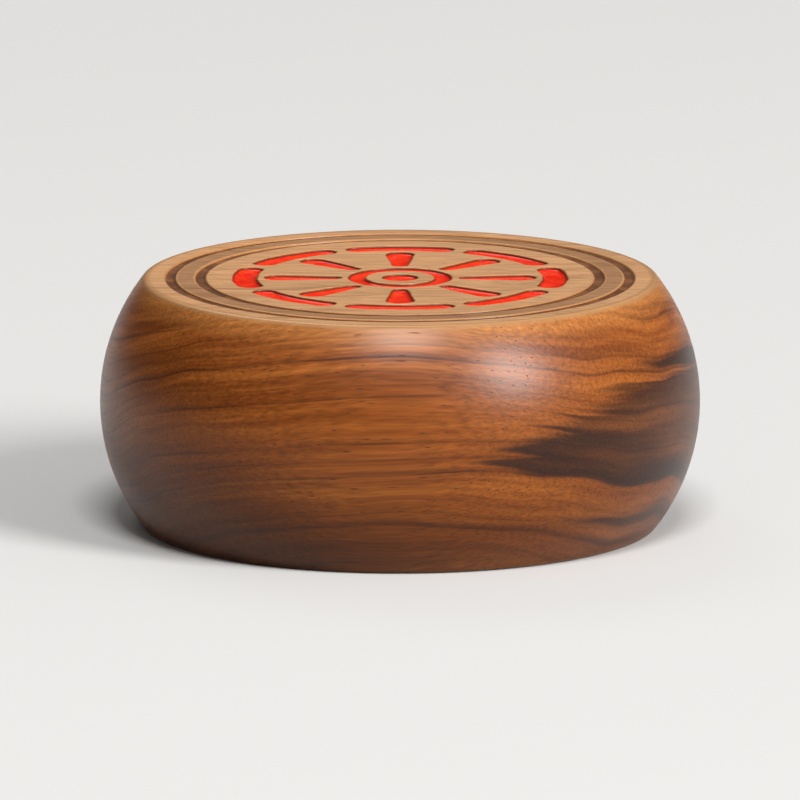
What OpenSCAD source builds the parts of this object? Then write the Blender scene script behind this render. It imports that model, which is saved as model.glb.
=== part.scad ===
// Turned hardwood xiangqi piece: a barrel-sided disc with two ring lines and a wheel emblem.
// Lines and emblem are cut into the upper face, and each cut holds its own body of lacquer.

/* [Body] */
// Largest diameter, at mid-height
body_d = 48; // [48:1:60]
// Height from the base to the upper face
body_h = 20; // [18:0.5:20.5]
// Radius of the bulge of the side, seen in section
bulge_r = 16; // [15:0.5:18]
// Radius of the rounded edge round each flat face
edge_r = 0.5; // [0.3:0.1:1]

/* [Ring lines] */
// Flat land between the rounded edge and the outer line
ring_land = 1.5; // [1:0.1:1.8]
// Width of each line
ring_w = 0.8; // [0.6:0.1:1]
// Distance between the middles of the two lines
ring_pitch = 2.4; // [2:0.1:2.8]
// Bare wood between the inner line and the emblem
emblem_land = 2.2; // [1.5:0.1:2.4]

/* [Wheel emblem] */
// Number of spokes, each with its own stretch of rim
spoke_count = 8; // [6:1:9]
// Width of the rim strokes
rim_w = 1.9; // [1.4:0.1:2.2]
// Gap between one stretch of rim and the next
rim_gap = 1; // [0.7:0.1:1.5]
// Gap from a spoke to the rim and to the hub ring
spoke_gap = 0.6; // [0.5:0.1:0.9]
// Width of a spoke at its hub end
spoke_hub_w = 1.2; // [1:0.1:1.4]
// Width of a spoke at its rim end
spoke_rim_w = 2.2; // [1.8:0.1:2.6]
// Diameter of the dot in the middle of the hub
hub_dot_d = 2.8; // [2:0.1:3.2]
// Gap between the hub dot and the hub ring
hub_gap = 1.4; // [1:0.1:1.6]
// Width of the hub ring
hub_ring_w = 1.3; // [1:0.1:1.5]

/* [Lacquer] */
// Depth of the carved strokes below the upper face
stroke_depth = 0.8; // [0.6:0.05:1]
// How far the lacquer lies below the upper face
lacquer_sink = 0.2; // [0.1:0.05:0.25]

/* [Hidden] */
$fn = 96;
cut_clear = 1;
// Each rounded end stands this much proud of the lines that run into it, so that they cross cleanly
end_lap = 0.004;

// Centre of the bulge's arc in the section, and the half-height above it
bulge_x = body_d / 2 - bulge_r;
half_h = body_h / 2;
// Centre of the rounded edge's arc, which runs into both the bulge and the flat face
edge_reach = bulge_r - edge_r + end_lap;
edge_rise = half_h - edge_r;
edge_run = sqrt(pow(edge_reach, 2) - pow(edge_rise, 2));
flat_r = bulge_x + edge_run;
// Height above the middle at which the bulge runs into the rounded edge
bulge_rise = edge_rise * bulge_r / edge_reach;

outer_ring_r = flat_r - ring_land - ring_w / 2;
inner_ring_r = outer_ring_r - ring_pitch;

emblem_r = inner_ring_r - ring_w / 2 - emblem_land;
rim_r = emblem_r - rim_w / 2;
hub_ring_in = hub_dot_d / 2 + hub_gap;
hub_ring_out = hub_ring_in + hub_ring_w;
spoke_start_r = hub_ring_out + spoke_gap + spoke_hub_w / 2;
spoke_end_r = emblem_r - rim_w - spoke_gap - spoke_rim_w / 2;
spoke_step = 360 / spoke_count;
// Half the angle of a stretch of rim, between the middles of its round ends
rim_half_a = spoke_step / 2 - asin((rim_w + rim_gap) / 2 / rim_r);

wood = "#84492a";
red_lacquer = "#d8301c";
dark_lacquer = "#3a2014";

// Half section of the body: the bulge's arc, a rounded edge above and below it, and the flat faces
module body_section() {
    intersection() {
        translate([bulge_x, half_h]) circle(r = bulge_r);
        translate([0, half_h - bulge_rise]) square([body_d, 2 * bulge_rise]);
    }
    for (z = [edge_r, body_h - edge_r]) translate([flat_r, z]) circle(r = edge_r);
    square([flat_r, body_h]);
}

// Round-bottomed groove section, with its middle on the upper face
module ring_section(ring_r) {
    translate([ring_r, body_h]) circle(d = ring_w);
}

// Tapered stroke with round ends, from the hub towards the rim
module spoke_outline() {
    hub_half = spoke_hub_w / 2 - end_lap;
    rim_half = spoke_rim_w / 2 - end_lap;
    lean = asin((rim_half - hub_half) / (spoke_end_r - spoke_start_r));
    across = [-sin(lean), cos(lean)];
    hub_side = [spoke_start_r, 0] + hub_half * across;
    rim_side = [spoke_end_r, 0] + rim_half * across;
    translate([spoke_start_r, 0]) circle(d = spoke_hub_w);
    translate([spoke_end_r, 0]) circle(d = spoke_rim_w);
    polygon([[hub_side[0], -hub_side[1]], [rim_side[0], -rim_side[1]], rim_side, hub_side]);
}

// Stretch of rim with round ends, centred on its spoke
module rim_outline() {
    reach = 2 * emblem_r;
    spread = reach * tan(rim_half_a);
    intersection() {
        difference() {
            circle(r = emblem_r);
            circle(r = emblem_r - rim_w);
        }
        polygon([[0, 0], [reach, -spread], [reach, spread]]);
    }
    for (side = [-1, 1]) rotate(side * rim_half_a) translate([rim_r, 0]) circle(d = rim_w + 2 * end_lap);
}

module hub_ring_outline() {
    difference() {
        circle(r = hub_ring_out);
        circle(r = hub_ring_in);
    }
}

// Turns an outline to the place of spoke i
module at_spoke(i) {
    rotate((i - 1) * spoke_step) children();
}

// Straight-walled pocket for a stroke, open at the upper face
module pocket() {
    translate([0, 0, body_h - stroke_depth]) linear_extrude(stroke_depth + cut_clear) children();
}

// Lacquer lying on a pocket's floor and against its walls
module stroke_fill() {
    color(red_lacquer)
        translate([0, 0, body_h - stroke_depth]) linear_extrude(stroke_depth - lacquer_sink) children();
}

module ring_line(ring_r) {
    color(dark_lacquer)
        rotate_extrude()
            intersection() {
                ring_section(ring_r);
                square([body_d, body_h - lacquer_sink]);
            }
}

module turned_body() {
    color(wood)
        difference() {
            rotate_extrude()
                difference() {
                    body_section();
                    ring_section(outer_ring_r);
                    ring_section(inner_ring_r);
                }
            pocket() circle(d = hub_dot_d);
            pocket() hub_ring_outline();
            for (i = [1:spoke_count]) {
                pocket() at_spoke(i) spoke_outline();
                pocket() at_spoke(i) rim_outline();
            }
        }
}

module outer_ring_line() {
    ring_line(outer_ring_r);
}

module inner_ring_line() {
    ring_line(inner_ring_r);
}

module hub_dot_fill() {
    stroke_fill() circle(d = hub_dot_d);
}

module hub_ring_fill() {
    stroke_fill() hub_ring_outline();
}

module spoke_fill(i) {
    stroke_fill() at_spoke(i) spoke_outline();
}

module rim_fill(i) {
    stroke_fill() at_spoke(i) rim_outline();
}

turned_body();
outer_ring_line();
inner_ring_line();
hub_dot_fill();
hub_ring_fill();
for (i = [1:spoke_count]) {
    spoke_fill(i);
    rim_fill(i);
}
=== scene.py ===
import bmesh
import bpy
import math
from mathutils import Matrix, Vector, noise


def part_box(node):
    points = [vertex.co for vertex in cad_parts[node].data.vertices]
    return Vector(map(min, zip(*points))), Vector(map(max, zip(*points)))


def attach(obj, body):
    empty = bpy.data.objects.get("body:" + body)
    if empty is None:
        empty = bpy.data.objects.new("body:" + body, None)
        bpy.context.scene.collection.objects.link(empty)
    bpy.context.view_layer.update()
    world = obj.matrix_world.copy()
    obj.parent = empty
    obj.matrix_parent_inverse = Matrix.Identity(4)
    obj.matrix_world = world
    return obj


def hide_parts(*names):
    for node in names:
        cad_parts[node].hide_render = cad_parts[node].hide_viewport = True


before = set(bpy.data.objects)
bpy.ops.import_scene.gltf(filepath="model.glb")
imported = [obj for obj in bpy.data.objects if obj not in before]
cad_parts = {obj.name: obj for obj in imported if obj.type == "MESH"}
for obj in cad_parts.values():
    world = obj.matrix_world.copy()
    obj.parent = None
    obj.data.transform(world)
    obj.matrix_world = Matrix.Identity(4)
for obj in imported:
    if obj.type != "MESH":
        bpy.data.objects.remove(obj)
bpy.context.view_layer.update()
mm = 0.001

scene = bpy.context.scene
scene.view_settings.view_transform = "Standard"

# Sizes read off the solids; the body's mesh has facets, so its half width is rounded to 0.1 mm
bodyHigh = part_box("turned_body")[1]
bodyR = round(bodyHigh[0] / mm, 1) * mm
faceZ = bodyHigh[2]
dotLow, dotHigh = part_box("hub_dot_fill")
pocketZ = dotLow[2]
lacquerZ = dotHigh[2]
sink = faceZ - lacquerZ
seat = 0.01 * mm  # how far lacquer reaches into the wood, so that no gap shows


# sRGB hex to the linear colour that shaders take
def fromHex(code):
    channels = [int(code[i:i + 2], 16) / 255 for i in (1, 3, 5)]
    return [c / 12.92 if c <= 0.04045 else ((c + 0.055) / 1.055) ** 2.4 for c in channels] + [1.0]


# Adds a node: settings by name, stops for a colour ramp, and inputs in order or by socket name or number.
# A node given as an input stands for its first output in use. MapRange takes a value, its limits and the
# limits that they become; a colour Mix takes its share as 0 and its two colours as 6 and 7.
def addNode(tree, kind, inputs=(), stops=(), **settings):
    node = tree.nodes.new("ShaderNode" + kind)
    for name, value in settings.items():
        setattr(node, name, value)
    if not isinstance(inputs, dict):
        inputs = dict(enumerate(inputs))
    for name, value in inputs.items():
        if isinstance(value, bpy.types.Node):
            value = next(output for output in value.outputs if output.enabled)
        if isinstance(value, bpy.types.NodeSocket):
            tree.links.new(value, node.inputs[name])
        else:
            node.inputs[name].default_value = value
    for number, (place, colour) in enumerate(stops):
        ramp = node.color_ramp.elements
        stop = ramp[number] if number < 2 else ramp.new(place)
        stop.position = place
        stop.color = colour
    return node


def newMaterial(name):
    material = bpy.data.materials.new(name)
    material.use_nodes = True
    material.node_tree.nodes.clear()
    return material, material.node_tree


# Points along an arc, by degrees
def arcPoints(centre, radius, start, end, steps):
    angles = [math.radians(start + (end - start) * i / steps) for i in range(steps + 1)]
    return [(centre[0] + radius * math.cos(a), centre[1] + radius * math.sin(a)) for a in angles]


# Points along an outline, set off from it
def wallLoop(bm, outline, offset, z):
    return [bm.verts.new((p.x + w.x * offset, p.y + w.y * offset, z)) for p, w in outline]


def setTouch(loop, layer, touch):
    for vert in loop:
        vert[layer] = touch


# Joins each loop of points to the next with a band of faces
def bridge(bm, loops):
    for first, second in zip(loops, loops[1:]):
        for i in range(len(first)):
            j = (i + 1) % len(first)
            bm.faces.new((first[i], first[j], second[j], second[i]))


# Closes a stroke's floor or skin: one loop with a face, a ring's two with a band
def close(bm, loops):
    if len(loops) == 1:
        bm.faces.new(loops[0])
    else:
        bridge(bm, loops)


# Fills flat wood between loops
def fillBetween(bm, loops):
    edges = []
    for loop in loops:
        for i in range(len(loop)):
            edges.append(bm.edges.get((loop[i], loop[(i + 1) % len(loop)])))
    bmesh.ops.triangle_fill(bm, use_beauty=True, use_dissolve=False, edges=edges, normal=(0, 0, 1))


# A finished piece takes the place of its CAD node, which is hidden, and gets the material given
def finishPiece(bm, name, node, material):
    bmesh.ops.recalc_face_normals(bm, faces=bm.faces)
    mesh = bpy.data.meshes.new(name)
    bm.to_mesh(mesh)
    bm.free()
    mesh.shade_smooth()
    mesh.materials.append(material)
    piece = bpy.data.objects.new(name, mesh)
    scene.collection.objects.link(piece)
    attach(piece, "root")
    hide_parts(node)
    return piece


# Where a point of the piece lies, in mm
def placeInMm(tree):
    place = addNode(tree, "TexCoord").outputs["Object"]
    return addNode(tree, "VectorMath", [place, (1 / mm, 1 / mm, 1 / mm)], operation="MULTIPLY")


# Rosewood, turned on a lathe, sanded fine and wax polished: orange-brown with long dark growth lines,
# a dark heart patch and short open pores, with a satin shine; painted light and sheen make the flat faces
# and a band below the upper edge paler
rosewood = {
    "pale": "#ae6226",
    "middle": "#864415",
    "dark": "#48210c",
    "heart": "#1d0e09",
    "pore": "#2e170c",
    "face": "#ebb684",  # the flat faces: painted light from above and painted sheen on them
    "thin": "#c58040",  # painted sheen: a paler band on the side, below the upper edge
    "edgeWearAndGlint": "#aa7e52",  # edges and lips: wear, and painted highlight along them
    "stainAndCutShade": "#4a1c10",  # wood that took up lacquer, and painted shade in the cuts
    "faceLightShare": 0.76,
    "lineShare": 0.6,  # of that, over a growth line
    "edgeWearAndGlintShare": 0.75,
    "stainAndCutShadeShare": 0.85,
    "level": (0.75, 0.98),  # upright part of the normal, from the side to the flat face
    "sheenFrom": 0.2,  # mm below the upper face
    "sheenDown": 1.7,  # mm
    "pith": (6.0, 92.0),  # mm, where the middle of the trunk lay: y, z
    "tilt": (2.0, 2.5, 4.0),  # degrees that the fibre leans off the x axis
    "wander": (33.3, 14.3, 14.3),  # mm from one bend of the fibre to the next
    "wanderBy": 3.6,  # mm
    "ringGap": 1.5,  # mm, one year's growth
    "unevenRate": 0.55,  # swings in the gap per year
    "unevenBy": 2.2,  # years
    "lateWood": [(0.0, 0.1), (0.4, 0.08), (0.78, 0.5), (0.92, 1.0), (1.0, 0.05)],  # dark through a year
    "yearRate": 0.7,  # changes from strong lines to weak ones per year
    "bandSize": (55.6, 20.0, 2.5),  # mm along the fibre, across it and out from the pith
    "streakSize": (25.0, 8.33, 0.588),  # mm, the same way
    "fibreSize": (9.09, 0.22, 0.22),  # mm, drawn coarser than the real 0.1 so that it shows
    "poreSize": (4.2, 0.3, 0.3),  # mm, drawn coarser than the real 0.2 so that it shows
    "poreReach": (0.22, 0.12),  # share of that, early and late in the year
    "poreCore": 0.06,  # share of that at which a pore is darkest
    "poreShare": 0.85,
    # limits of a noise, and the strengths that they become
    "yearRange": (0.3, 0.7, 0.15, 1.0),
    "fadeRange": (0.3, 0.62, 0.25, 1.0),
    "streakRange": (0.32, 0.66, 0.0, 1.0),
    "bandRange": (0.35, 0.65, 0.0, 0.55),
    "denseRange": (0.35, 0.6, 0.6, 0.9),
    "sheenRange": (0.3, 0.7, 0.84, 0.48),
    "edgeWearAndGlintRange": (0.3, 0.6, 0.7, 1.0),
    "fibreRange": (0.3, 0.7, 0.72, 1.2),
    # heart streaks, mm: lower edge from the pith, where the lowest and the top layer start, thickness
    "streaks": [(89.6, 6.5, 17.5, 7.5), (92.6, 11.0, 19.0, 1.2)],
    "lowerEdge": (-0.2, 0.5),  # mm over which that edge blends in
    "layerGap": 1.111,  # mm
    "fingers": 5.0,  # mm by which one layer of a streak starts before the next
    "fadeOut": 3.2,  # mm along the fibre
    "latheGap": 0.3,  # mm between the tool's finest marks
    "latheRelief": 0.35,  # against the fibre's
    "poreRelief": -1.2,
    "relief": 0.03 * mm,
    "reliefShare": 0.26,
    "roughness": 0.3,
    "faceRoughness": 0.14,
    "poreRoughness": 0.7,
    "fibreRoughness": 0.08,  # added on raised fibre
    "ior": 1.4,
}


# The wood's own space in mm: the fibre leans and wanders, and the rings lie round the pith
def woodSpace(tree, spot):
    look = rosewood
    pithY, pithZ = look["pith"]
    straight = addNode(tree, "Mapping", {
        "Vector": spot,
        "Location": (0, -pithY, -pithZ),
        "Rotation": [math.radians(a) for a in look["tilt"]],
    })
    slow = addNode(tree, "VectorMath", [straight, [1 / s for s in look["wander"]]], operation="MULTIPLY")
    drift = addNode(tree, "TexNoise", {"Vector": slow, "Scale": 1.0, "Detail": 2.0}).outputs["Color"]
    centred = addNode(tree, "VectorMath", [drift, (0.5, 0.5, 0.5)], operation="SUBTRACT")
    sideways = (0, look["wanderBy"], look["wanderBy"])
    wavy = addNode(tree, "VectorMath", [centred, sideways, straight], operation="MULTIPLY_ADD")
    across = addNode(tree, "VectorMath", [wavy, (0, 1, 1)], operation="MULTIPLY")
    fromPith = addNode(tree, "VectorMath", [across], operation="LENGTH")
    return wavy, fromPith


# Broad bands and fine streaks, which follow the layers of growth, and the fibre
def grainNoise(tree, wavy, fromPith):
    apart = addNode(tree, "SeparateXYZ", [wavy])
    layered = addNode(tree, "CombineXYZ", [apart.outputs["X"], apart.outputs["Y"], fromPith])
    marks = []
    for space, size, detail, roughness in (
        (layered, rosewood["bandSize"], 3.0, 0.5),
        (layered, rosewood["streakSize"], 5.0, 0.62),
        (wavy, rosewood["fibreSize"], 2.0, 0.5),
    ):
        scaled = addNode(tree, "VectorMath", [space, [1 / s for s in size]], operation="MULTIPLY")
        marks.append(addNode(tree, "TexNoise", {
            "Vector": scaled,
            "Scale": 1.0,
            "Detail": detail,
            "Roughness": roughness,
        }))
    return marks


# How far through its year each place grew, and how dark the growth lines are there
def growthRings(tree, fromPith, streak):
    look = rosewood
    years = addNode(tree, "Math", [fromPith, look["ringGap"]], operation="DIVIDE")
    uneven = addNode(tree, "TexNoise", {"W": years, "Scale": look["unevenRate"], "Detail": 1.0},
                     noise_dimensions="1D")
    grown = addNode(tree, "Math", [uneven, look["unevenBy"], years], operation="MULTIPLY_ADD")
    season = addNode(tree, "Math", [grown], operation="FRACT")
    stops = [(place, (dark, dark, dark, 1)) for place, dark in look["lateWood"]]
    lateWood = addNode(tree, "ValToRGB", [season], stops)
    year = addNode(tree, "TexNoise", {"W": grown, "Scale": look["yearRate"], "Detail": 0.0},
                   noise_dimensions="1D")
    strength = addNode(tree, "MapRange", [year, *look["yearRange"]])
    fade = addNode(tree, "MapRange", [streak, *look["fadeRange"]])
    marked = addNode(tree, "Math", [lateWood, strength], operation="MULTIPLY")
    lines = addNode(tree, "Math", [marked, fade], operation="MULTIPLY")
    return season, lines


# Dark heart streaks: each a wedge of layers that fade out along the fibre, every layer from its own place
def heartStreaks(tree, wavy, fromPith, band):
    look = rosewood
    along = addNode(tree, "SeparateXYZ", [wavy]).outputs["X"]
    layer = addNode(tree, "TexNoise", {"W": fromPith, "Scale": 1 / look["layerGap"], "Detail": 2.0},
                    noise_dimensions="1D")
    finger = addNode(tree, "Math", [layer, 0.5], operation="SUBTRACT")
    heart = 0.0
    for edge, start, full, thick in look["streaks"]:
        above = addNode(tree, "Math", [edge, fromPith], operation="SUBTRACT")
        first = addNode(tree, "MapRange", [above, 0.0, thick, start, full], clamp=False)
        begins = addNode(tree, "Math", [finger, 2 * look["fingers"], first], operation="MULTIPLY_ADD")
        past = addNode(tree, "Math", [along, begins], operation="SUBTRACT")
        reached = addNode(tree, "MapRange", [past, 0.0, look["fadeOut"]], interpolation_type="SMOOTHSTEP")
        over = addNode(tree, "MapRange", [above, *look["lowerEdge"]], interpolation_type="SMOOTHSTEP")
        inside = addNode(tree, "Math", [reached, over], operation="MULTIPLY")
        heart = addNode(tree, "Math", [heart, inside], operation="MAXIMUM")
    dense = addNode(tree, "MapRange", [band, *look["denseRange"]])
    return addNode(tree, "Math", [heart, dense], operation="MULTIPLY")


# Open pores: dashes on the long grain, dots on the end grain
def openPores(tree, wavy, season):
    look = rosewood
    scaled = addNode(tree, "VectorMath", [wavy, [1 / s for s in look["poreSize"]]], operation="MULTIPLY")
    cell = addNode(tree, "TexVoronoi", {"Vector": scaled, "Scale": 1.0, "Randomness": 1.0})
    reach = addNode(tree, "MapRange", [season, 0.0, 1.0, *look["poreReach"]])
    return addNode(tree, "MapRange", [cell, reach, look["poreCore"], 0.0, look["poreShare"]],
                   interpolation_type="SMOOTHSTEP")


def rosewoodMaterial():
    look = rosewood
    material, tree = newMaterial("rosewoodTurnedWaxed")
    spot = placeInMm(tree)
    axes = addNode(tree, "SeparateXYZ", [spot])
    wavy, fromPith = woodSpace(tree, spot)
    band, streak, fibre = grainNoise(tree, wavy, fromPith)
    season, lines = growthRings(tree, fromPith, streak)
    heart = heartStreaks(tree, wavy, fromPith, band)
    pore = openPores(tree, wavy, season)

    # flat face or side
    normal = addNode(tree, "NewGeometry").outputs["Normal"]
    upright = addNode(tree, "SeparateXYZ", [normal]).outputs["Z"]
    level = addNode(tree, "Math", [upright], operation="ABSOLUTE")
    flat = addNode(tree, "MapRange", [level, *look["level"]])
    onSide = addNode(tree, "Math", [1.0, flat], operation="SUBTRACT")

    # how much of each colour shows
    streaked = addNode(tree, "MapRange", [streak, *look["streakRange"]], interpolation_type="SMOOTHSTEP")
    banded = addNode(tree, "MapRange", [band, *look["bandRange"]], interpolation_type="SMOOTHSTEP")
    # painted sheen: a paler band on the side, from just below the upper edge downwards, patchy along the
    # grain
    sheenTopZ = faceZ / mm - look["sheenFrom"]
    underUpperEdge = addNode(tree, "MapRange", [axes.outputs["Z"], sheenTopZ - look["sheenDown"], sheenTopZ])
    sheenOnSide = addNode(tree, "Math", [underUpperEdge, onSide], operation="MULTIPLY")
    sheenPatches = addNode(tree, "MapRange", [streak, *look["sheenRange"]])
    paintedSheenBand = addNode(tree, "Math", [sheenOnSide, sheenPatches], operation="MULTIPLY")
    # painted light: the flat faces are drawn paler for the light from above and the sheen on them, a little
    # less over growth lines
    overLine = look["faceLightShare"] * look["lineShare"]
    faceLightByLine = addNode(tree, "MapRange", [lines, 0.0, 1.0, look["faceLightShare"], overLine])
    paintedFaceLight = addNode(tree, "Math", [flat, faceLightByLine], operation="MULTIPLY")
    fibreTone = addNode(tree, "MapRange", [fibre, *look["fibreRange"]])
    touch = addNode(tree, "Attribute", attribute_name="touch").outputs["Fac"]
    # pale edges and lips: wear, and painted highlight along them
    rubbed = addNode(tree, "MapRange", [touch, 0.0, 1.0, 0.0, look["edgeWearAndGlintShare"]])
    patchy = addNode(tree, "MapRange", [fibre, *look["edgeWearAndGlintRange"]])
    edgeWearAndGlint = addNode(tree, "Math", [rubbed, patchy], operation="MULTIPLY")
    # dark where touch is below 0: lacquer stain, and painted shade in the cuts
    stainAndCutShadeMask = addNode(tree, "MapRange", [touch, 0.0, -1.0, 0.0, look["stainAndCutShadeShare"]])

    # colour, from the ground up
    colour = fromHex(look["pale"])
    for share, over, blend in (
        (streaked, fromHex(look["middle"]), "MIX"),
        (banded, fromHex(look["middle"]), "MIX"),
        (lines, fromHex(look["dark"]), "MIX"),
        (heart, fromHex(look["heart"]), "MIX"),
        (paintedSheenBand, fromHex(look["thin"]), "MIX"),
        (paintedFaceLight, fromHex(look["face"]), "MIX"),
        (1.0, fibreTone, "MULTIPLY"),
        (pore, fromHex(look["pore"]), "MIX"),
        (edgeWearAndGlint, fromHex(look["edgeWearAndGlint"]), "MIX"),
        (stainAndCutShadeMask, fromHex(look["stainAndCutShade"]), "MIX"),
    ):
        colour = addNode(tree, "Mix", {0: share, 6: colour, 7: over}, data_type="RGBA", blend_type=blend)

    # relief of a few hundredths of a millimetre: pores, raised fibre and the lathe's finest marks
    ground = addNode(tree, "CombineXYZ", [axes.outputs["X"], axes.outputs["Y"]])
    fromAxis = addNode(tree, "VectorMath", [ground], operation="LENGTH")
    section = addNode(tree, "CombineXYZ", [fromAxis, axes.outputs["Z"]])
    lathe = addNode(tree, "TexNoise", {"Vector": section, "Scale": 1 / look["latheGap"], "Detail": 1.0},
                    noise_dimensions="2D")
    poreLow = addNode(tree, "Math", [pore, look["poreRelief"], fibre], operation="MULTIPLY_ADD")
    height = addNode(tree, "Math", [lathe, look["latheRelief"], poreLow], operation="MULTIPLY_ADD")
    relief = addNode(tree, "Bump", {
        "Height": height,
        "Strength": look["reliefShare"],
        "Distance": look["relief"],
    })
    polish = addNode(tree, "MapRange", [flat, 0.0, 1.0, look["roughness"], look["faceRoughness"]])
    dull = addNode(tree, "MapRange", [pore, 0.0, 1.0, polish, look["poreRoughness"]])
    rough = addNode(tree, "Math", [fibre, look["fibreRoughness"], dull], operation="MULTIPLY_ADD")

    surface = addNode(tree, "BsdfPrincipled", {
        "Base Color": colour,
        "Roughness": rough,
        "Normal": relief,
        "IOR": look["ior"],
    })
    addNode(tree, "OutputMaterial", {"Surface": surface})
    return material


# Vermilion lacquer, flowed into the cuts with a brush: a strong warm red, glossy, deeper against the walls,
# where it is thick and where painted shade stands for the corner
redLacquer = {
    "body": "#ec1d08",
    "thick": "#8f1408",  # against the walls: thick lacquer, and painted shade
    "thin": "#fa3810",
    "toneRange": (0.62, 0.86),  # unevenness at which it starts to thin, and is thinnest
    "pool": 1.1,  # mm, from one thinner place to the next
    "brush": 0.22,  # mm between brush marks
    "brushShare": 0.5,  # against the pools
    "relief": 0.05 * mm,
    "reliefShare": 0.22,
    "roughRange": (0.3, 0.7, 0.1, 0.18),  # limits of the pools, and the roughness that they become
    "ior": 1.3,
}


def redLacquerMaterial():
    look = redLacquer
    material, tree = newMaterial("vermilionLacquerBrushed")
    spot = placeInMm(tree)
    pool = addNode(tree, "TexNoise", {"Vector": spot, "Scale": 1 / look["pool"], "Detail": 3.0})
    brush = addNode(tree, "TexNoise", {"Vector": spot, "Scale": 1 / look["brush"], "Detail": 3.0})
    uneven = addNode(tree, "Math", [brush, look["brushShare"], pool], operation="MULTIPLY_ADD")
    colours = [fromHex(look["body"]), fromHex(look["thin"])]
    tone = addNode(tree, "ValToRGB", [uneven], zip(look["toneRange"], colours))
    wall = addNode(tree, "Attribute", attribute_name="touch").outputs["Fac"]
    wallDarkenedRed = addNode(tree, "Mix", {0: wall, 6: tone, 7: fromHex(look["thick"])}, data_type="RGBA")
    relief = addNode(tree, "Bump", {
        "Height": uneven,
        "Strength": look["reliefShare"],
        "Distance": look["relief"],
    })
    surface = addNode(tree, "BsdfPrincipled", {
        "Base Color": wallDarkenedRed,
        "Roughness": addNode(tree, "MapRange", [pool, *look["roughRange"]]),
        "Normal": relief,
        "IOR": look["ior"],
    })
    addNode(tree, "OutputMaterial", {"Surface": surface})
    return material


# Dark lacquer, run into the turned grooves and rubbed back: a dull mid-brown, paler where it is thin
darkLacquer = {
    "body": "#5c3820",
    "rubbed": "#825534",
    "toneRange": (0.42, 0.72),  # unevenness at which it starts to thin, and is thinnest
    "patch": 2.2,  # mm
    "relief": 0.05 * mm,
    "reliefShare": 0.2,
    "roughRange": (0.3, 0.7, 0.55, 0.7),  # limits of the patches, and the roughness that they become
    "ior": 1.25,
}


def darkLacquerMaterial():
    look = darkLacquer
    material, tree = newMaterial("darkLacquerRubbed")
    spot = placeInMm(tree)
    patch = addNode(tree, "TexNoise", {"Vector": spot, "Scale": 1 / look["patch"], "Detail": 4.0})
    colours = [fromHex(look["body"]), fromHex(look["rubbed"])]
    relief = addNode(tree, "Bump", {
        "Height": patch,
        "Strength": look["reliefShare"],
        "Distance": look["relief"],
    })
    surface = addNode(tree, "BsdfPrincipled", {
        "Base Color": addNode(tree, "ValToRGB", [patch], zip(look["toneRange"], colours)),
        "Roughness": addNode(tree, "MapRange", [patch, *look["roughRange"]]),
        "Normal": relief,
        "IOR": look["ior"],
    })
    addNode(tree, "OutputMaterial", {"Surface": surface})
    return material


wood = rosewoodMaterial()
red = redLacquerMaterial()
dark = darkLacquerMaterial()
print("materials:", wood.name, red.name, dark.name)

# Wheel emblem: separate strokes carved into the upper face, each with its own lacquer
emblem = {
    "hubRingW": 1.3 * mm,
    "spokeHubW": 1.2 * mm,
    "rimW": 1.9 * mm,
    "wobble": 0.06 * mm,  # the carver's hand
    "wobbleGap": 1.4 * mm,
    "lip": 0.16 * mm,  # the knife's edge, sanded round
    "support": 0.05 * mm,  # from that lip to the flat wood
    "lipTouch": 0.5,  # at the top of the lip: wear, and painted highlight
    "lipFall": 0.4,  # less touch at each step down, as far as the stain and painted shade
    "straight": 0.6,  # share of the depth with an upright wall
    "lean": 0.04 * mm,  # how far the wall then leans in
    "climb": 0.03 * mm,  # lacquer drawn up the walls as it dried
    "creep": 0.2 * mm,  # how far from the wall that reaches
    "dish": 0.12 * mm,  # and how far the middle sank
    "skinGaps": (0, 0.03, 0.07, 0.12, 0.18, 0.26, 0.36, 0.48),  # mm from the wall
    "hubDotSteps": 64,
    "hubRingSteps": 120,
    "spokeEndSteps": (16, 26),  # at the hub and at the rim
    "spokeSideSteps": 12,
    "rimSteps": 30,
    "rimEndSteps": 16,
    "lipSteps": 5,
}

spokeLow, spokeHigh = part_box("spoke_fill_1")
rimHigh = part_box("rim_fill_1")[1]
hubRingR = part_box("hub_ring_fill")[1][0]
spokeCount = sum(name.startswith("spoke_fill_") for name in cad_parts)


# Outlines are lists of a point on the wall and the direction out of the stroke
def arcWall(centre, radius, start, end, steps, out=1):
    wall = []
    for i in range(steps + 1):
        a = start + (end - start) * i / steps
        way = Vector((math.cos(a), math.sin(a)))
        wall.append((Vector(centre) + way * radius, way * out))
    return wall


def circleOutline(radius, steps, out=1):
    return arcWall((0, 0), radius, 0, 2 * math.pi * (1 - 1 / steps), steps - 1, out)


def spokeOutline():
    hubSteps, rimSteps = emblem["spokeEndSteps"]
    sideSteps = emblem["spokeSideSteps"]
    hubR = emblem["spokeHubW"] / 2
    rimR = (spokeHigh[1] - spokeLow[1]) / 2
    hubX = spokeLow[0] + hubR
    rimX = spokeHigh[0] - rimR
    side = math.pi / 2 + math.asin((rimR - hubR) / (rimX - hubX))
    rimEnd = arcWall((rimX, 0), rimR, -side, side, rimSteps)
    hubEnd = arcWall((hubX, 0), hubR, side, 2 * math.pi - side, hubSteps)
    sides = []
    for first, last in ((rimEnd[-1], hubEnd[0]), (hubEnd[-1], rimEnd[0])):
        sides.append([(first[0].lerp(last[0], i / sideSteps), first[1]) for i in range(1, sideSteps)])
    return rimEnd + sides[0] + hubEnd + sides[1]


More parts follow.
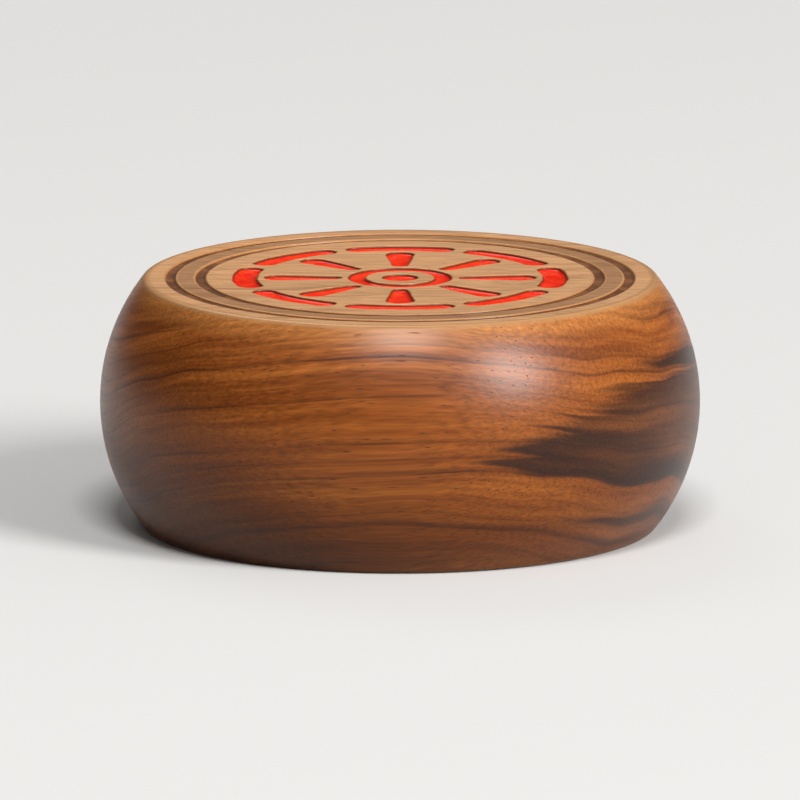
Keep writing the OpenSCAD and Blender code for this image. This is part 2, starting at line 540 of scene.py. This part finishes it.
def rimOutline():
    outR = rimHigh[0]
    halfW = emblem["rimW"] / 2
    midR = outR - halfW
    half = math.asin((rimHigh[1] - halfW) / midR)
    outside = arcWall((0, 0), outR, -half, half, emblem["rimSteps"])
    inside = arcWall((0, 0), outR - emblem["rimW"], half, -half, emblem["rimSteps"], -1)
    ends = []
    for a, start in ((half, half), (-half, math.pi - half)):
        centre = (midR * math.cos(a), midR * math.sin(a))
        ends.append(arcWall(centre, halfW, start, start + math.pi, emblem["rimEndSteps"])[1:-1])
    return outside + ends[0] + inside + ends[1]


def turned(outline, angle):
    spin = Matrix.Rotation(angle, 2)
    return [(spin @ point, spin @ way) for point, way in outline]


# Lays the carver's small unevenness on an outline
def carved(outline):
    uneven = []
    for point, way in outline:
        spot = Vector((point.x, point.y, 0)) / emblem["wobbleGap"]
        uneven.append((point + way * noise.noise(spot) * emblem["wobble"], way))
    return uneven


strokes = [
    ("hubDot", "hub_dot_fill", [circleOutline((dotHigh[0] - dotLow[0]) / 2, emblem["hubDotSteps"])]),
    ("hubRing", "hub_ring_fill", [
        circleOutline(hubRingR, emblem["hubRingSteps"]),
        circleOutline(hubRingR - emblem["hubRingW"], emblem["hubRingSteps"], -1),
    ]),
]
for i in range(spokeCount):
    angle = 2 * math.pi * i / spokeCount
    strokes.append((f"spoke{i + 1}", f"spoke_fill_{i + 1}", [turned(spokeOutline(), angle)]))
    strokes.append((f"rim{i + 1}", f"rim_fill_{i + 1}", [turned(rimOutline(), angle)]))
strokes = [(name, node, [carved(o) for o in outlines]) for name, node, outlines in strokes]
print("strokes:", len(strokes))

# Turned blank; touch is a value on each point of its wood: 1 where it is drawn pale for wear and painted
# edge highlight, -1 where it is drawn dark for lacquer stain and painted shade in the cuts
blank = {
    "bulgeR": 16 * mm,
    "edgeR": 0.5 * mm,
    "lip": 0.12 * mm,  # edges of the grooves, sanded round
    "support": 0.06 * mm,  # from a groove's lip to the flat wood
    "inset": 0.36 * mm,  # from a rounded edge to the flat wood
    "baseLoops": (0.25, 0.5, 0.75),  # shares of the flat base
    # pale touch: wear, and painted highlight on the rounded edges and the groove lips
    "baseTouch": 0.4,
    "topTouch": 1,
    "lipTouch": 0.7,
    "landTouch": -0.45,  # the land between the two lines is drawn darker with the same dark colour
    "around": 288,  # steps round the axis
    "sideSteps": 96,
    "edgeSteps": 12,
    "lipSteps": 6,
}

# Turned grooves with lacquer in them
ringLine = {
    "halfW": 0.4 * mm,
    "climb": 0.08 * mm,  # lacquer creeping up the groove
    "grooveSteps": 20,
    "skinSteps": 12,
    "bedSteps": 16,
}

# Half the groove's width at the lacquer's level gives the ring's radius from its fill
ringChord = math.sqrt(ringLine["halfW"] ** 2 - sink ** 2)
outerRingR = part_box("outer_ring_line")[1][0] - ringChord
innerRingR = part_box("inner_ring_line")[1][0] - ringChord


# Points all round the axis
def turnedLoop(bm, radius, z):
    angles = [2 * math.pi * i / blank["around"] for i in range(blank["around"])]
    return [bm.verts.new((radius * math.cos(a), radius * math.sin(a), z)) for a in angles]


# Sections of the blank are lists of radius, height and touch
def touched(points, touch):
    return [(radius, z, touch) for radius, z in points]


# A turned groove from its outer lip to its inner one
def grooveSection(ringR):
    lip, lipSteps, lipTouch = blank["lip"], blank["lipSteps"], blank["lipTouch"]
    halfW = ringLine["halfW"]
    reach = math.sqrt((halfW + lip) ** 2 - lip ** 2)
    dip = math.degrees(math.asin(lip / (halfW + lip)))
    section = touched(arcPoints((ringR + reach, faceZ - lip), lip, 90, 180 - dip, lipSteps), lipTouch)
    section += touched(arcPoints((ringR, faceZ), halfW, -dip, dip - 180, ringLine["grooveSteps"])[1:], -1)
    section += touched(arcPoints((ringR - reach, faceZ - lip), lip, dip, 90, lipSteps)[1:], lipTouch)
    return section


# Half section of the blank from the middle of the base, up the side and in to the carved field
def blankSection():
    edgeR, edgeSteps, bulgeR = blank["edgeR"], blank["edgeSteps"], blank["bulgeR"]
    support, inset, land = blank["support"], blank["inset"], blank["landTouch"]
    rise = faceZ / 2 - edgeR
    run = math.sqrt((bulgeR - edgeR) ** 2 - rise ** 2)
    bulgeX = bodyR - bulgeR
    flatR = bulgeX + run
    lean = math.degrees(math.atan2(rise, run))
    section = touched([(flatR * share, 0) for share in blank["baseLoops"]], 0)
    section.append((flatR - inset, 0, 0))
    section += touched(arcPoints((flatR, edgeR), edgeR, -90, -lean, edgeSteps), blank["baseTouch"])
    section += touched(arcPoints((bulgeX, faceZ / 2), bulgeR, -lean, lean, blank["sideSteps"])[1:-1], 0)
    section += touched(arcPoints((flatR, faceZ - edgeR), edgeR, lean, 90, edgeSteps), blank["topTouch"])
    section.append((flatR - inset, faceZ, 0))
    for ringR, before, after in ((outerRingR, 0, land), (innerRingR, land, 0)):
        groove = grooveSection(ringR)
        section.append((groove[0][0] + support, faceZ, before))
        section += groove
        section.append((groove[-1][0] - support, faceZ, after))
    return section


# Wall of a pocket: offset out of the stroke, height and touch of its pale lip (wear and painted highlight),
# and of its wall and floor, drawn dark for lacquer stain and painted shade
def pocketSection():
    lip = emblem["lip"]
    section = [(lip + emblem["support"], faceZ, 0)]
    for i in range(emblem["lipSteps"] + 1):
        a = i / emblem["lipSteps"] * math.pi / 2
        touch = max(emblem["lipTouch"] - emblem["lipFall"] * i, -1)
        section.append((lip - lip * math.sin(a), faceZ - lip + lip * math.cos(a), touch))
    section.append((0, faceZ + (pocketZ - faceZ) * emblem["straight"], -1))
    section.append((-emblem["lean"], pocketZ, -1))
    return section


def buildBlank():
    bm = bmesh.new()
    touchLayer = bm.verts.layers.float.new("touch")
    loops = []
    for radius, z, touch in blankSection():
        loops.append(turnedLoop(bm, radius, z))
        setTouch(loops[-1], touchLayer, touch)
    bridge(bm, loops)
    middle = bm.verts.new((0, 0, 0))
    for i in range(blank["around"]):
        bm.faces.new((loops[0][i], middle, loops[0][(i + 1) % blank["around"]]))

    tops = {}
    for name, node, outlines in strokes:
        tops[name] = []
        floors = []
        for outline in outlines:
            walls = []
            for offset, z, touch in pocketSection():
                walls.append(wallLoop(bm, outline, offset, z))
                setTouch(walls[-1], touchLayer, touch)
            bridge(bm, walls)
            tops[name].append(walls[0])
            floors.append(walls[-1])
        close(bm, floors)

    # the flat field round the strokes, and the disc inside the hub ring
    hubDot, hubRing = tops.pop("hubDot"), tops.pop("hubRing")
    fillBetween(bm, [loops[-1], hubRing[0]] + [top[0] for top in tops.values()])
    fillBetween(bm, [hubRing[1], hubDot[0]])
    return finishPiece(bm, "turnedBlank", "turned_body", wood)


blankPiece = buildBlank()
print("turned blank:", len(blankPiece.data.polygons), "faces")


# Lacquer lies in a groove with its skin drawn up both walls
def buildRingLine(name, node, ringR):
    bm = bmesh.new()
    halfW, climb, steps = ringLine["halfW"], ringLine["climb"], ringLine["skinSteps"]
    edge = math.asin((sink - climb) / halfW)
    skin = []
    for i in range(steps + 1):
        share = 2 * i / steps - 1
        skin.append((ringR - share * halfW * math.cos(edge), lacquerZ + climb * abs(share) ** 3))
    low = math.degrees(edge)
    bed = arcPoints((ringR, faceZ), halfW + seat, low - 180, -low, ringLine["bedSteps"])
    loops = [turnedLoop(bm, radius, z) for radius, z in skin + bed]
    bridge(bm, loops + loops[:1])
    finishPiece(bm, name, node, dark)


buildRingLine("outerRingLacquer", "outer_ring_line", outerRingR)
buildRingLine("innerRingLacquer", "inner_ring_line", innerRingR)
print("ring lines at", round(outerRingR / mm, 2), "and", round(innerRingR / mm, 2), "mm")


# Lacquer in a carved stroke: a dished skin, standing on the pocket's floor; touch is 1 against the walls,
# where the red is drawn darker for thick lacquer and painted shade
def buildStroke(name, node, outlines):
    bm = bmesh.new()
    touchLayer = bm.verts.layers.float.new("touch")
    middleZ = lacquerZ - emblem["dish"]
    drawnUp = emblem["climb"] + emblem["dish"]
    skins, beds = [], []
    for outline in outlines:
        loops = []
        for gap in emblem["skinGaps"]:
            nearWall = math.exp(-gap * mm / emblem["creep"])
            loops.append(wallLoop(bm, outline, seat - gap * mm, middleZ + drawnUp * nearWall))
            setTouch(loops[-1], touchLayer, nearWall ** 2)
        bed = wallLoop(bm, outline, seat, pocketZ)
        bridge(bm, [bed] + loops)
        skins.append(loops[-1])
        beds.append(bed)
    close(bm, skins)
    close(bm, beds)
    finishPiece(bm, name + "Lacquer", node, red)


for name, node, outlines in strokes:
    buildStroke(name, node, outlines)
print("lacquered strokes:", len(strokes))

# Floor of pale paper: what bounces off it onto the piece is kept low, and from below it is clear
floorLook = {
    "pale": "#d0cfcd",
    "bounce": "#403e3c",
    "size": 6.0,  # metres
    "lift": 0.02 * mm,  # above the base's level, so that no light creeps in under the edge
}


def buildFloor():
    half, lift = floorLook["size"] / 2, floorLook["lift"]
    mesh = bpy.data.meshes.new("paleFloor")
    corners = [(-half, -half, lift), (half, -half, lift), (half, half, lift), (-half, half, lift)]
    mesh.from_pydata(corners, [], [(0, 1, 2, 3)])
    material, tree = newMaterial("paleFloorPaper")
    rays = addNode(tree, "LightPath").outputs
    seen = addNode(tree, "Math", [rays["Is Camera Ray"], rays["Is Glossy Ray"]], operation="MAXIMUM")
    shown = addNode(tree, "Math", [seen, rays["Is Transmission Ray"]], operation="MAXIMUM")
    bounce = addNode(tree, "BsdfDiffuse", {"Color": fromHex(floorLook["bounce"])})
    pale = addNode(tree, "BsdfDiffuse", {"Color": fromHex(floorLook["pale"])})
    paper = addNode(tree, "MixShader", [shown, bounce, pale])
    below = addNode(tree, "NewGeometry").outputs["Backfacing"]
    clear = addNode(tree, "BsdfTransparent")
    addNode(tree, "OutputMaterial", {"Surface": addNode(tree, "MixShader", [below, paper, clear])})
    mesh.materials.append(material)
    floor = bpy.data.objects.new("paleFloor", mesh)
    scene.collection.objects.link(floor)


buildFloor()

# Lamps: watts, metres, and where each stands as degrees to the right of the camera and degrees up
lamps = {
    "keyRight": {
        "turn": 50, "rise": 33, "away": 2.4, "size": (0.84, 1.1), "watts": 55.0, "shape": "ELLIPSE",
    },
    "overFront": {
        "turn": 2, "rise": 59, "away": 2.6, "size": (0.86, 0.46), "watts": 39.0, "shape": "RECTANGLE",
    },
    "fillBehind": {
        "turn": 200, "rise": 46, "away": 2.6, "size": (1.5, 1.0), "watts": 8.0, "shape": "RECTANGLE",
    },
}
aim = Vector((0, 0, faceZ / 2))


# Places a lamp or a camera round the piece and turns it to face it
def aimAt(data, turn, rise, away):
    t, r = math.radians(turn), math.radians(rise)
    way = Vector((math.sin(t) * math.cos(r), -math.cos(t) * math.cos(r), math.sin(r)))
    holder = bpy.data.objects.new(data.name, data)
    holder.location = aim + way * away
    holder.rotation_euler = way.to_track_quat("Z", "Y").to_euler()
    scene.collection.objects.link(holder)
    return holder


for name, lamp in lamps.items():
    light = bpy.data.lights.new(name, "AREA")
    light.energy = lamp["watts"]
    light.shape = lamp["shape"]
    light.size, light.size_y = lamp["size"]
    aimAt(light, lamp["turn"], lamp["rise"], lamp["away"])
print("lamps:", ", ".join(lamps))

# Room: brightest above, to the front and right; from the horizon down it goes on from the floor's far edge
room = {
    "brightest": (0.45, -0.3, 0.84),  # direction
    "bright": 0.38,
    "dim": 0.03,
    "dimFrom": -0.1,  # cosine of the angle from there at which it is dimmest
    "floorEdge": 0.5,
    "below": 0.9,
    "belowFrom": -0.3,  # height of a unit direction at which that is reached
    "horizon": 0.04,  # height by which the floor's edge has blended into the room
}


def buildRoom():
    world = bpy.data.worlds.new("softRoom")
    world.use_nodes = True
    tree = world.node_tree
    tree.nodes.clear()
    way = addNode(tree, "TexCoord").outputs["Generated"]
    lean = addNode(tree, "VectorMath", [way, room["brightest"]], operation="DOT_PRODUCT")
    glow = addNode(tree, "MapRange", [lean, room["dimFrom"], 1.0, room["dim"], room["bright"]])
    height = addNode(tree, "SeparateXYZ", [way]).outputs["Z"]
    under = addNode(tree, "MapRange", [height, room["belowFrom"], 0.0, room["below"], room["floorEdge"]])
    strength = addNode(tree, "MapRange", [height, 0.0, room["horizon"], under, glow])
    backdrop = addNode(tree, "Background", {"Color": (1, 1, 1, 1), "Strength": strength})
    addNode(tree, "OutputWorld", {"Surface": backdrop})
    scene.world = world


buildRoom()

# Camera at the photograph's angle: far off with a long lens
shot = {
    "rise": 11.2,  # degrees
    "away": 1.95,  # metres
    "width": 64 * mm,  # of the view, at the piece
    "sensor": 36.0,  # mm
}
longLens = bpy.data.cameras.new("longLens")
longLens.sensor_width = shot["sensor"]
longLens.lens = shot["sensor"] * shot["away"] / shot["width"]
scene.camera = aimAt(longLens, 0, shot["rise"], shot["away"])
print("camera lens", round(longLens.lens), "mm")
